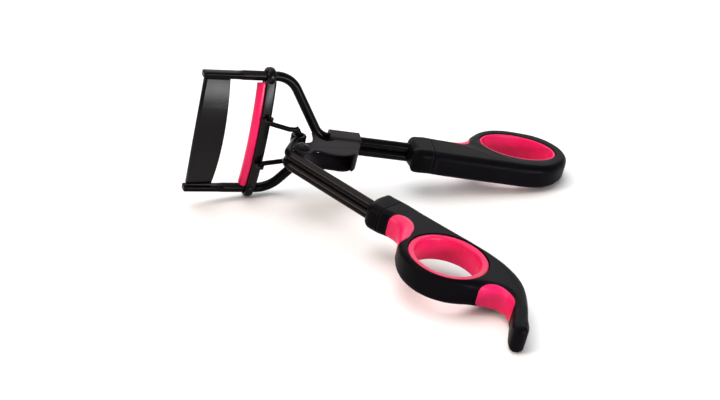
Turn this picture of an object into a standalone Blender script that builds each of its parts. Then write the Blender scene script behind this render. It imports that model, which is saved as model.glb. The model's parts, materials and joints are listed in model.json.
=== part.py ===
"""Eyelash curler with ring grips, built in its own working frame.

Working frame (children of the empty "rest_pose"): X runs along the guide rails from the lash plate
to the handles, Y is the pivot axis and the width of the head, Z points to the side on which the
moving handle opens.  "rest_pose" then lays the tool down the way it lies on a table, with +Z up and
the origin under the middle of its bounding box.  Lengths below are in millimetres times MM.
"""
from math import atan2, cos, pi, radians, sin, tan

import bmesh
import bpy
from mathutils import Euler, Matrix, Vector

MM = 0.001
GAP = 0.3 * MM                      # clearance between pieces that touch

# ---- head: rails, lash plate, jaw -------------------------------------------------------------
RAIL_Y = 19.0 * MM                  # half distance between the guide rails
WIRE_R = 1.42 * MM                  # rails and handle shanks
BLADE_END = 11.0 * MM               # the rail tips are flattened up to here
LASH_R = 46.0 * MM                  # radius that plate and pad are curved to
LASH_RISE = 3.5 * MM                # height of that curve in the middle
PLATE_LENGTH = 7.9 * MM
PLATE_HALF_WIDTH = 17.6 * MM
PLATE_THICKNESS = 0.8 * MM
PLATE_BOW = 1.3 * MM                # the front edge bulges forward in the middle
JAW_X = 20.5 * MM                   # guide loops of the jaw, handles open
LOOP_R = 2.65 * MM
LOOP_LENGTH = 2.6 * MM
CHANNEL_FRONT = 18.6 * MM
CHANNEL_BACK = 22.3 * MM
CHANNEL_HALF_HEIGHT = 2.0 * MM
SHEET = 0.75 * MM
PAD_FRONT = 16.2 * MM

# ---- linkage ----------------------------------------------------------------------------------
PIVOT = Vector((28.1, 0.0, 15.5)) * MM       # main rivet
LEVER_TIP = Vector((30.4, 0.0, 6.0)) * MM    # eyes at the lever end of the moving handle
LINK_EAR = Vector((20.3, 7.0, 6.65)) * MM    # eye of the far link ear on the jaw
LINK_R = 0.75 * MM
EYE_R = 2.7 * MM
EYE_BORE = 1.65 * MM                # oversize: this pivot closes the linkage
SHANK_OFFSET = 3.5 * MM             # moving shank passes the pivot at this distance
WIRE_Y = 1.6 * MM                   # half distance between the two wires of a shank
SHANK_END = 36.5 * MM               # moving wires end here, measured from the pivot

# ---- bracket ----------------------------------------------------------------------------------
EAR_INNER = 3.8 * MM
EAR_THICKNESS = 0.7 * MM
RIVET_R = 1.0 * MM
HEAD_R = 2.1 * MM

# ---- handles ----------------------------------------------------------------------------------
FIXED_ANGLE = radians(12.47)        # fixed shank, measured from +X towards +Z
MOVING_ANGLE = radians(61.85)       # moving shank with the handles open
FIXED_ORIGIN = Vector((50.0, 0.0, 7.2)) * MM
GRIP_HALF = 3.9 * MM                # half thickness of both grips
GRIP_ROUND = 1.7 * MM

# outlines: (along the handle, across it); "corner" points are not smoothed
FIXED_GRIP = [(22.6, 4.9, "corner"), (34, 6.3), (45, 7.1), (54, 7.1), (61, 5.6), (66, 1.5), (67.6, -4),
              (66, -9.5), (61.5, -14), (54, -16.1), (46, -15.6), (40.2, -12.6), (36.6, -8),
              (33.4, -4.6), (28.5, -3.5), (22.6, -3.7, "corner")]
FIXED_RING = (51.2, -6.0, 12.4, 7.9, 5.0)    # centre, semi-axes, tilt in degrees
FIXED_INLAY = [(26.2, -5), (27.6, -2.6), (30.5, -1.6), (34, -2.3), (36, -5.2), (36.4, -9), (33, -10),
               (29, -8)]
# the moving handle is measured from the pivot
MOVING_GRIP = [(35.9, -1.1, "corner"), (42, -2.5), (54, -3.9), (62, -4.3), (70, -4.1), (76, -2.6),
               (82, 0.5), (86.5, 4.4), (90.8, 9.8), (94.6, 15.6), (95.9, 18.8), (93.6, 19.8),
               (90.8, 17), (87.6, 12.6), (84.2, 9.1), (80.6, 7.5), (77.2, 8.6), (74, 11.6),
               (70.2, 16), (65.4, 19.8), (59.4, 21), (53.4, 19.3), (48.8, 15.6), (45.9, 10.6),
               (43.6, 7), (40, 5.9), (35.9, 7.1, "corner")]
MOVING_RING = (62.1, 8.6, 11.2, 10.9, 0.0)
FRONT_INLAY = [(38, 9.4), (38.5, 4.6), (40.4, 2.1), (43.5, 1.5), (46.4, 3.6), (47.8, 7.6), (46.8, 13.3),
               (42, 13.1)]
TAIL_INLAY = [(74.4, 14), (74.9, 9.2), (77.6, 5.3), (82, 4.2), (86, 6.8), (88.6, 10.6),
              (90.2, 15.6), (86, 19), (76, 19)]
COLLAR_LENGTH = 5.0 * MM


# ================================================================================================
def clear_scene():
    for obj in list(bpy.data.objects):
        bpy.data.objects.remove(obj, do_unlink=True)
    for group in list(bpy.data.collections):
        bpy.data.collections.remove(group)


def new_collection(name):
    group = bpy.data.collections.new(name)
    bpy.context.scene.collection.children.link(group)
    return group


def material(name, color, roughness, metallic=0.0):
    mat = bpy.data.materials.new(name)
    mat.use_nodes = True
    shader = mat.node_tree.nodes["Principled BSDF"]
    shader.inputs["Base Color"].default_value = (*color, 1.0)
    shader.inputs["Roughness"].default_value = roughness
    shader.inputs["Metallic"].default_value = metallic
    return mat


def empty(name, parent, location=(0, 0, 0), rotation=(0, 0, 0)):
    obj = bpy.data.objects.new(name, None)
    obj.empty_display_size = 5 * MM
    obj.parent = parent
    obj.location = location
    obj.rotation_euler = rotation
    GUIDES.objects.link(obj)
    return obj


def place(name, data, parent, mat=None, location=(0, 0, 0), rotation=(0, 0, 0)):
    """Link a new object: a part when it has a material, otherwise a hidden cutter or guide."""
    obj = bpy.data.objects.new(name, data)
    obj.parent = parent
    obj.location = location
    obj.rotation_euler = rotation
    if mat is None:
        GUIDES.objects.link(obj)
        obj.hide_render = True
        obj.display_type = 'WIRE'
    else:
        PARTS.objects.link(obj)
        data.materials.clear()
        data.materials.append(mat)
    return obj


def smooth(mesh, angle=35.0):
    mesh.shade_smooth()
    mesh.set_sharp_from_angle(angle=radians(angle))


def mesh_from_curve(curve_obj):
    """Swap a curve object for the mesh it makes, with the loose caps welded on."""
    bpy.context.view_layer.update()
    graph = bpy.context.evaluated_depsgraph_get()
    mesh = bpy.data.meshes.new_from_object(curve_obj.evaluated_get(graph))
    weld = bmesh.new()
    weld.from_mesh(mesh)
    bmesh.ops.remove_doubles(weld, verts=weld.verts, dist=0.002 * MM)
    bmesh.ops.recalc_face_normals(weld, faces=weld.faces)
    weld.to_mesh(mesh)
    weld.free()
    smooth(mesh)
    name = curve_obj.name
    is_part = not curve_obj.hide_render
    mat = curve_obj.data.materials[0] if is_part else None
    parent, spot, turn = curve_obj.parent, curve_obj.location.copy(), curve_obj.rotation_euler.copy()
    old = curve_obj.data
    bpy.data.objects.remove(curve_obj)
    bpy.data.curves.remove(old)
    return place(name, mesh, parent, mat, spot, turn)


def tube(name, points, radius, parent, mat=None, resolution=2):
    curve = bpy.data.curves.new(name, 'CURVE')
    curve.dimensions = '3D'
    curve.bevel_depth = radius
    curve.bevel_resolution = resolution
    curve.use_fill_caps = True
    curve.render_resolution_u = 0
    spline = curve.splines.new('POLY')
    spline.points.add(len(points) - 1)
    for target, point in zip(spline.points, points):
        target.co = (*point, 1.0)
        target.radius = 1.0
    return place(name, curve, parent, mat)


def outline(name, points, half, parent, mat=None, rounding=0.0, grow=0.0, y=0.0, resolution=5):
    """Flat outline in the parent's XZ plane, thickened to +-half along Y, edges rounded over."""
    curve = bpy.data.curves.new(name, 'CURVE')
    curve.dimensions = '2D'
    curve.fill_mode = 'BOTH'
    curve.resolution_u = resolution
    curve.render_resolution_u = 0
    curve.extrude = half - rounding
    curve.bevel_depth = rounding
    curve.bevel_resolution = 2
    curve.offset = grow - rounding
    spline = curve.splines.new('BEZIER')
    spline.bezier_points.add(len(points) - 1)
    spline.use_cyclic_u = True
    for target, point in zip(spline.bezier_points, points):
        target.co = (point[0] * MM, point[1] * MM, 0.0)
        handle = 'VECTOR' if point[-1] == "corner" else 'AUTO'
        target.handle_left_type = handle
        target.handle_right_type = handle
    return place(name, curve, parent, mat, (0, y, 0), (pi / 2, 0, 0))


def from_bmesh(name, shape, parent, mat=None, location=(0, 0, 0), rotation=(0, 0, 0)):
    mesh = bpy.data.meshes.new(name)
    shape.to_mesh(mesh)
    shape.free()
    smooth(mesh)
    return place(name, mesh, parent, mat, location, rotation)


def box(name, low, high, parent, mat=None, bevel=0.0):
    """Axis-aligned box from its low and high corners."""
    low, high = Vector(low), Vector(high)
    shape = bmesh.new()
    bmesh.ops.create_cube(shape, size=1.0)
    bmesh.ops.scale(shape, vec=high - low, verts=shape.verts)
    bmesh.ops.translate(shape, vec=(low + high) / 2, verts=shape.verts)
    obj = from_bmesh(name, shape, parent, mat)
    if bevel:
        rounded = obj.modifiers.new("rounded_edges", 'BEVEL')
        rounded.width = bevel
        rounded.segments = 3
        rounded.limit_method = 'ANGLE'
    return obj


def cylinder(name, radius, y_low, y_high, x, z, parent, mat=None, segments=24, axis='Y'):
    """Cylinder along Y between y_low and y_high, or along X with x and the y pair swapped."""
    shape = bmesh.new()
    bmesh.ops.create_cone(shape, cap_ends=True, segments=segments, radius1=radius, radius2=radius,
                          depth=y_high - y_low)
    middle = (y_low + y_high) / 2
    if axis == 'X':
        return from_bmesh(name, shape, parent, mat, (middle, x, z), (0, pi / 2, 0))
    return from_bmesh(name, shape, parent, mat, (x, middle, z), (pi / 2, 0, 0))


def turned(name, profile, parent, mat, location, rotation=(pi / 2, 0, 0), steps=32):
    """Profile (radius, height) from top to bottom, turned about the local Z axis."""
    shape = bmesh.new()
    verts = [shape.verts.new((radius, 0.0, height)) for radius, height in profile]
    for first, second in zip(verts, verts[1:]):
        shape.edges.new((first, second))
    if profile[0] != profile[-1] and profile[0][0] > 0:
        shape.edges.new((verts[-1], verts[0]))
    obj = from_bmesh(name, shape, parent, mat, location, rotation)
    screw = obj.modifiers.new("turn", 'SCREW')
    screw.axis = 'Z'
    screw.steps = steps
    screw.render_steps = steps
    screw.use_merge_vertices = True
    screw.merge_threshold = 0.005 * MM
    screw.use_smooth_shade = True
    return obj


def boolean(obj, tool, operation='DIFFERENCE'):
    cut = obj.modifiers.new(operation.lower(), 'BOOLEAN')
    cut.operation = operation
    cut.object = tool
    cut.solver = 'EXACT'


def swept_on_lash_curve(name, section, half_width, parent, mat, steps=20):
    """Closed XZ section, given for the middle of the head, swept along the lash curve."""
    centre = Vector((0, 0, LASH_RISE - LASH_R))
    half_angle = atan2(half_width, (LASH_R ** 2 - half_width ** 2) ** 0.5)
    shape = bmesh.new()
    verts = [shape.verts.new((x, 0.0, LASH_RISE + z)) for x, z in section]
    face = shape.faces.new(verts)
    bmesh.ops.rotate(shape, verts=verts, cent=centre, matrix=Matrix.Rotation(half_angle, 3, 'X'))
    bmesh.ops.spin(shape, geom=[face, *face.edges, *face.verts], cent=centre, axis=(1, 0, 0),
                   angle=-2 * half_angle, steps=steps)
    bmesh.ops.recalc_face_normals(shape, faces=shape.faces)
    return from_bmesh(name, shape, parent, mat)


def arc(centre, radius, start, end, steps):
    """Points (x, z) on an arc, angles in radians from +X towards +Z."""
    angles = [start + (end - start) * k / steps for k in range(steps + 1)]
    return [(centre[0] + radius * cos(a), centre[1] + radius * sin(a)) for a in angles]


def bent_wire(corners, radii, steps=6):
    """Polyline through the corners with each inner corner rounded to its bend radius."""
    path = [corners[0]]
    for before, corner, after, radius in zip(corners, corners[1:], corners[2:], radii):
        come = (corner - before).normalized()
        leave = (after - corner).normalized()
        turn = come.angle(leave)
        reach = radius * tan(turn / 2)
        inward = (leave - come).normalized()
        centre = corner + inward * (radius / cos(turn / 2))
        first = corner - come * reach - centre
        axis = come.cross(leave).normalized()
        for k in range(steps + 1):
            path.append(centre + Matrix.Rotation(turn * k / steps, 3, axis) @ first)
    path.append(corners[-1])
    return path


# ================================================================================================
def build_rail(name, side, root, mat):
    """Guide rail, diagonal and one wire of the fixed shank; side is +1 far, -1 near."""
    along = Vector((cos(FIXED_ANGLE), 0, sin(FIXED_ANGLE)))
    neck = FIXED_ORIGIN - along * 10.2 * MM + Vector((0, side * WIRE_Y, 0))
    corners = [Vector((BLADE_END - 1.2 * MM, side * RAIL_Y, 0)),
               Vector((26.6 * MM, side * RAIL_Y, 0)),
               neck,
               neck + along * 36.5 * MM]
    wire = mesh_from_curve(tube(name, bent_wire(corners, (7 * MM, 6 * MM)), WIRE_R, root, mat))
    low = (-0.6 * MM, side * RAIL_Y - 1.0 * MM, -1.6 * MM)
    high = (BLADE_END, side * RAIL_Y + 1.0 * MM, 1.6 * MM)
    blade = box(name + "_blade", low, high, root, bevel=0.6 * MM)
    boolean(wire, blade, 'UNION')
    return wire


def build_plate(root, mat):
    """Curved lash plate with a rolled front hem; only the front edge bows forward."""
    half = PLATE_THICKNESS / 2
    hem = 0.9 * MM
    roll = arc((hem, -0.35 * MM), hem, radians(75), radians(350), 9)
    section = [(PLATE_LENGTH, half), *roll, (PLATE_LENGTH, -half)]
    plate = swept_on_lash_curve("upper_lash_plate", section, PLATE_HALF_WIDTH, root, mat, steps=24)
    for vertex in plate.data.vertices:
        forward = max(0.0, 1.0 - vertex.co.x / (0.8 * PLATE_LENGTH))
        vertex.co.x -= PLATE_BOW * forward * (1.0 - (vertex.co.y / PLATE_HALF_WIDTH) ** 2)


def build_jaw(slide, mat, pad_mat, root_offset):
    """Sliding jaw: channel, two guide loops and two link ears in one stamping, and its pad."""
    front, back = CHANNEL_FRONT, CHANNEL_BACK
    top, inside = CHANNEL_HALF_HEIGHT, CHANNEL_HALF_HEIGHT - SHEET
    section = [(front, top), (front, inside), (back - SHEET, inside), (back - SHEET, -inside),
               (front, -inside), (front, -top), (back, -top), (back, top)]
    jaw = swept_on_lash_curve("sliding_jaw", section, 17.0 * MM, slide, mat)
    jaw.location = root_offset
    ear_x, ear_y, ear_z = LINK_EAR
    for side, tag in ((1, "far"), (-1, "near")):
        loop = cylinder(tag + "_loop", LOOP_R, JAW_X - LOOP_LENGTH / 2, JAW_X + LOOP_LENGTH / 2,
                        side * RAIL_Y, 0, slide, axis='X')
        loop.location += root_offset
        bore = cylinder(tag + "_loop_bore", WIRE_R + 0.35 * MM, JAW_X - 4 * MM, JAW_X + 4 * MM,
                        side * RAIL_Y, 0, slide, axis='X')
        bore.location += root_offset
        head = arc((0, 0), 1.45, 0, pi, 10)
        stem = outline(tag + "_link_ear", [*((x, z, "corner") for x, z in head), (-1.3, -2.3, "corner"),
                                      (1.3, -2.3, "corner")], 0.4 * MM, slide)
        stem.location = Vector((ear_x, side * ear_y, ear_z)) + root_offset
        stem = mesh_from_curve(stem)
        eye = cylinder(tag + "_ear_eye", LINK_R + GAP, side * ear_y - 3 * MM,
                       side * ear_y + 3 * MM, ear_x, ear_z, slide, segments=16)
        eye.location += root_offset
        for piece in (loop, stem):
            boolean(jaw, piece, 'UNION')
        for hole in (bore, eye):
            boolean(jaw, hole)
    bead, tongue = 1.6 * MM, inside - GAP
    nose = PAD_FRONT + 1.2 * MM
    pad_section = [(front - GAP, bead), (nose, bead), (PAD_FRONT, 0.8 * MM), (PAD_FRONT, -0.8 * MM),
                   (nose, -bead), (front - GAP, -bead), (front - GAP, -tongue),
                   (back - SHEET - GAP, -tongue), (back - SHEET - GAP, tongue),
                   (front - GAP, tongue)]
    pad = swept_on_lash_curve("lash_pad", pad_section, 16.0 * MM, slide, pad_mat)
    pad.location = root_offset


def build_link(hinge, mat):
    """Wire yoke from the two link ears to the lever tip, measured from the ear axis."""
    reach = LEVER_TIP - LINK_EAR
    ear_y = LINK_EAR.y
    half = [Vector((0, ear_y + 1.3 * MM, 0)), Vector((0, ear_y - 1.25 * MM, 0)),
            Vector((reach.x * 0.5, 5.1 * MM, reach.z * 0.5)), Vector((reach.x, 5.7 * MM, reach.z))]
    other = [Vector((p.x, -p.y, p.z)) for p in reversed(half)]
    radii = (0.9 * MM, 5 * MM, 1.3 * MM, 1.3 * MM, 5 * MM, 0.9 * MM)
    tube("link_yoke", bent_wire(half + other, radii, steps=4), LINK_R, hinge, mat)


def build_bracket(root, fixed, mat):
    """Folded sheet bracket: two ears, the web behind them and the sleeve on the fixed shank."""
    ear = [(24.3, 16.2), (25.6, 18.3), (28.6, 18.4), (31.6, 17.3), (35.4, 18), (39.6, 18.6),
           (44, 16.8), (46.8, 13.2), (48.2, 9), (47.5, 6.2, "corner"), (42.6, 5.6, "corner"),
           (39.4, 6.9), (36.2, 7), (33, 10.2), (29.6, 12.7), (25.6, 13.4)]
    sleeve_low = (-8.2 * MM, -4.0 * MM, -2.5 * MM)
    sleeve_high = (1.0 * MM, 4.0 * MM, 2.5 * MM)
    bracket = box("hinge_bracket", sleeve_low, sleeve_high, fixed, mat, bevel=1.5 * MM)
    middle = EAR_INNER + EAR_THICKNESS / 2
    for side, tag in ((1, "far"), (-1, "near")):
        plate = mesh_from_curve(outline(tag + "_ear", ear, EAR_THICKNESS / 2, root, y=side * middle))
        boolean(bracket, plate, 'UNION')
    rear = arc((40.2 * MM, 11.0 * MM), 7.2 * MM, radians(98), radians(-20), 12)
    inner = arc((40.2 * MM, 11.0 * MM), 6.4 * MM, radians(-20), radians(98), 12)
    web = bmesh.new()
    ring = [web.verts.new((x, -middle, z)) for x, z in rear + inner]
    face = web.faces.new(ring)
    grown = bmesh.ops.extrude_face_region(web, geom=[face])
    moved = [item for item in grown["geom"] if isinstance(item, bmesh.types.BMVert)]
    bmesh.ops.translate(web, verts=moved, vec=(0, 2 * middle, 0))
    bmesh.ops.recalc_face_normals(web, faces=web.faces)
    boolean(bracket, from_bmesh("rear_web", web, root), 'UNION')
    slot = box("sleeve_slot", (-12 * MM, -(WIRE_Y + WIRE_R + GAP), -(WIRE_R + GAP)),
               (5 * MM, WIRE_Y + WIRE_R + GAP, WIRE_R + GAP), fixed)
    boolean(bracket, slot)
    bore = cylinder("rivet_bore", RIVET_R + GAP, -8 * MM, 8 * MM, PIVOT.x, PIVOT.z, root)
    boolean(bracket, bore)


def build_pivot(root, handle, steel, nylon):
    """Rivet through both ears with a washer under each head, and the bush of the handle."""
    outside = EAR_INNER + EAR_THICKNESS
    under = outside + 2 * GAP + 0.4 * MM
    dome = [(0.0, 0.9 * MM), (1.0 * MM, 0.72 * MM), (1.75 * MM, 0.36 * MM), (HEAD_R, 0.0)]
    top = [(r, under + h) for r, h in dome]
    low = [(r, -under - h) for r, h in reversed(dome)]
    profile = top + [(RIVET_R, under), (RIVET_R, -under)] + low
    turned("pivot_rivet", profile, root, steel, PIVOT, steps=24)
    for side, tag in ((1, "far"), (-1, "near")):
        ring = [(2.5 * MM, 0.2 * MM), (2.5 * MM, -0.2 * MM), (1.3 * MM, -0.2 * MM),
                (1.3 * MM, 0.2 * MM)]
        spot = PIVOT + Vector((0, side * (outside + GAP + 0.2 * MM), 0))
        turned(tag + "_pivot_washer", ring, root, nylon, spot, steps=24)
    outer = SHANK_OFFSET - WIRE_R - GAP
    half = EAR_INNER - GAP
    sleeve = [(outer, half), (outer, -half), (RIVET_R + GAP, -half), (RIVET_R + GAP, half)]
    turned("pivot_bush", sleeve, handle, steel, (0, 0, 0), steps=24)


def build_moving_wire(name, side, handle, mat):
    """One shank wire: straight shank, bend round the pivot, lever and eye at the lever tip."""
    tip = Matrix.Rotation(MOVING_ANGLE, 3, 'Y') @ (LEVER_TIP - PIVOT)
    distance = (tip.x ** 2 + tip.z ** 2) ** 0.5
    tip_angle = atan2(tip.z, tip.x)
    bend_end = tip_angle - atan2((distance ** 2 - SHANK_OFFSET ** 2) ** 0.5, SHANK_OFFSET)
    while bend_end < pi / 2:
        bend_end += 2 * pi
    bend = arc((0, 0), SHANK_OFFSET, pi / 2, bend_end, 8)
    path = [Vector((SHANK_END, 0, SHANK_OFFSET))] + [Vector((x, 0, z)) for x, z in bend]
    entry = tip + (path[-1] - tip).normalized() * (EYE_BORE + 0.3 * MM)
    path.append(entry)
    spot = Vector((0, side * WIRE_Y, 0))
    wire = mesh_from_curve(tube(name, [p + spot for p in path], WIRE_R, handle, mat))
    low, high = side * WIRE_Y - 1.3 * MM, side * WIRE_Y + 1.3 * MM
    knuckle = cylinder(name + "_eye", EYE_R, low, high, tip.x, tip.z, handle)
    hole = cylinder(name + "_bore", EYE_BORE, low - 1 * MM, high + 1 * MM, tip.x, tip.z, handle)
    boolean(wire, knuckle, 'UNION')
    boolean(wire, hole)


def build_collar(name, start, low, high, shank_z, handle, mat):
    """Moulded collar that closes the front of a grip, with the wire slot through it."""
    collar = box(name, (start, -GRIP_HALF, low), (start + COLLAR_LENGTH, GRIP_HALF, high), handle,
                 mat, bevel=1.5 * MM)
    reach = WIRE_R + GAP
    slot = box(name + "_slot", (start - 2 * MM, -WIRE_Y - reach, shank_z - reach),
               (start + COLLAR_LENGTH + 2 * MM, WIRE_Y + reach, shank_z + reach), handle)
    boolean(collar, slot)


def ring_cutter(name, ring, grow, handle):
    """Elliptical pocket that takes a ring insert."""
    x, z, long_half, short_half, tilt = ring
    shape = bmesh.new()
    bmesh.ops.create_cone(shape, cap_ends=True, segments=48, radius1=1, radius2=1, depth=30 * MM)
    size = (long_half * MM + grow, short_half * MM + grow, 1)
    bmesh.ops.scale(shape, vec=size, verts=shape.verts)
    return from_bmesh(name, shape, handle, None, (x * MM, 0, z * MM),
                      Euler((pi / 2, -radians(tilt), 0), 'XYZ'))


def build_ring(name, ring, handle, mat):
    """Soft ring insert: straight outside, belly towards the finger, rounded rims."""
    x, z, long_half, short_half, tilt = ring
    rim = GRIP_HALF + 0.1 * MM
    belly = [(-0.5, rim), (-1.2, rim - 0.15 * MM), (-1.7, rim - 0.8 * MM), (-2.2, rim * 0.45),
             (-2.4, 0.0)]
    mirrored = [(depth, -height) for depth, height in reversed(belly[:-1])]
    loop = [(0.0, -rim + 0.4 * MM), (0.0, rim - 0.4 * MM), *belly, *mirrored]
    shape = bmesh.new()
    steps = 48
    rows = []
    for k in range(steps):
        turn = 2 * pi * k / steps
        row = []
        for depth, height in loop:
            a, b = (long_half + depth) * MM, (short_half + depth) * MM
            row.append(shape.verts.new((a * cos(turn), b * sin(turn), height)))
        rows.append(row)
    for k in range(steps):
        here, there = rows[k], rows[(k + 1) % steps]
        for i in range(len(loop)):
            j = (i + 1) % len(loop)
            shape.faces.new((here[i], there[i], there[j], here[j]))
    bmesh.ops.recalc_face_normals(shape, faces=shape.faces)
    from_bmesh(name, shape, handle, mat, (x * MM, 0, z * MM),
               Euler((pi / 2, -radians(tilt), 0), 'XYZ'))


def build_grip(name, shape_points, ring, inlays, socket, handle, body_mat, soft_mat):
    """Grip body with a ring pocket, notches for the soft inlays and a blind wire socket."""
    body = mesh_from_curve(outline(name, shape_points, GRIP_HALF, handle, body_mat, GRIP_ROUND))
    boolean(body, ring_cutter(name + "_pocket", ring, GAP, handle))
    boolean(body, box(name + "_socket", *socket, handle))
    build_ring(name + "_ring", ring, handle, soft_mat)
    for inlay_name, points in inlays:
        notch = outline(inlay_name + "_notch", points, 2 * GRIP_HALF, handle, grow=GAP)
        boolean(body, mesh_from_curve(notch))
        inlay = mesh_from_curve(outline(inlay_name, shape_points, GRIP_HALF, handle, soft_mat,
                                        GRIP_ROUND))
        keep = mesh_from_curve(outline(inlay_name + "_region", points, 2 * GRIP_HALF, handle))
        boolean(inlay, keep, 'INTERSECT')


def lowest(objects, down):
    """The vertex of these parts that lies furthest along the direction `down`."""
    graph = bpy.context.evaluated_depsgraph_get()
    best = None
    for obj in objects:
        evaluated = obj.evaluated_get(graph)
        mesh = evaluated.to_mesh()
        for vertex in mesh.vertices:
            point = evaluated.matrix_world @ vertex.co
            if best is None or point.dot(down) > best.dot(down):
                best = point
        evaluated.to_mesh_clear()
    return best


def lay_down(root):
    """Turn the tool so that jaw, fixed grip and moving grip touch the table together."""
    bpy.context.view_layer.update()
    touching = [[bpy.data.objects[name]] for name in ("sliding_jaw", "fixed_grip", "moving_grip")]
    down = Vector((0.156, -0.982, 0.103)).normalized()
    for _ in range(8):
        jaw, fixed, moving = (lowest(group, down) for group in touching)
        normal = (fixed - jaw).cross(moving - jaw).normalized()
        down = normal if normal.dot(down) > 0 else -normal
    up = -down
    forward = (Vector((1, 0, 0)) - up * up.x).normalized()
    left = up.cross(forward)
    turn = Matrix((forward, left, up)).to_4x4()
    root.matrix_world = turn
    bpy.context.view_layer.update()
    corners = []
    graph = bpy.context.evaluated_depsgraph_get()
    for obj in PARTS.objects:
        evaluated = obj.evaluated_get(graph)
        mesh = evaluated.to_mesh()
        corners += [evaluated.matrix_world @ vertex.co for vertex in mesh.vertices]
        evaluated.to_mesh_clear()
    low = Vector([min(p[i] for p in corners) for i in range(3)])
    high = Vector([max(p[i] for p in corners) for i in range(3)])
    shift = Vector((-(low.x + high.x) / 2, -(low.y + high.y) / 2, -low.z))
    root.matrix_world = Matrix.Translation(shift) @ turn
    bpy.context.view_layer.update()


clear_scene()
PARTS = new_collection("eyelash_curler")
GUIDES = new_collection("cutters_and_guides")

lacquer = material("black_lacquer", (0.012, 0.011, 0.012), 0.22, 0.3)
shell = material("soft_touch_black", (0.035, 0.033, 0.040), 0.55)
collar_black = material("collar_black", (0.015, 0.014, 0.015), 0.35)
pink = material("pink_soft_grip", (0.90, 0.030, 0.13), 0.45)
silicone = material("pink_silicone", (0.93, 0.02, 0.12), 0.35)
steel = material("blackened_steel", (0.03, 0.03, 0.03), 0.3, 0.8)
nylon = material("black_nylon", (0.02, 0.02, 0.02), 0.5)

rest_pose = empty("rest_pose", None)
fixed_handle = empty("fixed_handle_axis", rest_pose, FIXED_ORIGIN, (0, -FIXED_ANGLE, 0))
handle_pivot = empty("handle_pivot", rest_pose, PIVOT, (0, -MOVING_ANGLE, 0))
jaw_slide = empty("jaw_slide", rest_pose, (JAW_X, 0, 0))
link_hinge = empty("link_hinge", rest_pose, (LINK_EAR.x, 0, LINK_EAR.z))

build_plate(rest_pose, lacquer)
build_rail("far_rail_wire", 1, rest_pose, lacquer)
build_rail("near_rail_wire", -1, rest_pose, lacquer)
build_bracket(rest_pose, fixed_handle, lacquer)
build_pivot(rest_pose, handle_pivot, steel, nylon)
build_jaw(jaw_slide, lacquer, silicone, Vector((-JAW_X, 0, 0)))
build_link(link_hinge, lacquer)
build_moving_wire("far_moving_wire", 1, handle_pivot, lacquer)
build_moving_wire("near_moving_wire", -1, handle_pivot, lacquer)
build_collar("fixed_collar", 17.3 * MM, -4.0 * MM, 5.1 * MM, 0.0, fixed_handle, collar_black)
build_collar("moving_collar", 30.6 * MM, -1.0 * MM, 7.3 * MM, SHANK_OFFSET, handle_pivot,
             collar_black)
reach = WIRE_R + GAP
build_grip("fixed_grip", FIXED_GRIP, FIXED_RING, [("fixed_grip_inlay", FIXED_INLAY)],
           ((20 * MM, -WIRE_Y - reach, -reach), (26.6 * MM, WIRE_Y + reach, reach)),
           fixed_handle, shell, pink)
build_grip("moving_grip", MOVING_GRIP, MOVING_RING,
           [("front_grip_inlay", FRONT_INLAY), ("tail_grip_inlay", TAIL_INLAY)],
           ((33 * MM, -WIRE_Y - reach, SHANK_OFFSET - reach),
            (SHANK_END + GAP, WIRE_Y + reach, SHANK_OFFSET + reach)),
           handle_pivot, shell, pink)
lay_down(rest_pose)
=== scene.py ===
"""Looks of the eyelash curler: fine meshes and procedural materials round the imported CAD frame.

All shapes are made in the mechanism's own frames, in metres: "tool" (X along the guide rails from
the lash plate to the handles, Y along the pivot axis, Z to the side that the moving handle opens),
"fixed" (X along the fixed handle) and "moving" (X along the moving handle, origin at the pivot).
The three are worked out from the joints of the frame.
"""
import json
from math import atan2, cos, pi, radians, sin, sqrt, tan

import bmesh
import bpy
import numpy as np
from mathutils import Matrix, Vector
from mathutils.geometry import interpolate_bezier


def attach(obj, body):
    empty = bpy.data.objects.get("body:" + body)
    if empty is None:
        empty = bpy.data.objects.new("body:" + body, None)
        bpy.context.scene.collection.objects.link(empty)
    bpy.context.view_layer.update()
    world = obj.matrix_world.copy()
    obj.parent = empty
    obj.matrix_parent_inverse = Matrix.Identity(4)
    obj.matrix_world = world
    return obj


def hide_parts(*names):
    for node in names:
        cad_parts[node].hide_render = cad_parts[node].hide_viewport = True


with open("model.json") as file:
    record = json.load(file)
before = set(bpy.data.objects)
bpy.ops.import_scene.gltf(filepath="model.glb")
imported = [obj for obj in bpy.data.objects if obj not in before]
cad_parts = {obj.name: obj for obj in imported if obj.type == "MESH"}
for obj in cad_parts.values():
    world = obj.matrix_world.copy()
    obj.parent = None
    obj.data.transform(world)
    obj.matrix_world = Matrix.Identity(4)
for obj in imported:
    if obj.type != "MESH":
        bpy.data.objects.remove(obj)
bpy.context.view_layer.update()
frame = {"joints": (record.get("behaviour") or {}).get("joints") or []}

MM = 0.001

# ---- driving dimensions in millimetres, some of them finer than the CAD model's -----------------
RAIL_Y = 19.0
WIRE_R = 1.48
RAIL_TIP, RAIL_BEND = -0.6, 26.6             # where a rail starts and where it turns inwards
BLADE_END = 11.0                             # the rail is flattened up to here
BLADE_FADE = 1.4
BLADE_HALF_WIDTH, BLADE_HALF_HEIGHT = 1.0, 1.6
BLADE_SQUARENESS = 0.45
LASH_R = 46.0
LASH_RISE = 3.5
PLATE_LENGTH = 7.9
PLATE_HALF_WIDTH = 17.6
PLATE_THICKNESS = 0.8
PLATE_BOW = 1.3
JAW_X = 19.9
LOOP_R = 2.75
LOOP_LENGTH = 2.6
CHANNEL_FRONT = 18.6
CHANNEL_BACK = 21.9
CHANNEL_HALF_HEIGHT = 2.0
CHANNEL_HALF_WIDTH = 18.5
SHEET = 0.75
PAD_FRONT = 16.4
PAD_HALF_WIDTH = 16.9
JAW_BOW = 0.7
JAW_BOW_HALF_WIDTH = 17.0                    # the bow ends at this distance from the middle
PIVOT = Vector((28.1, 0.0, 15.5))
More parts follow.
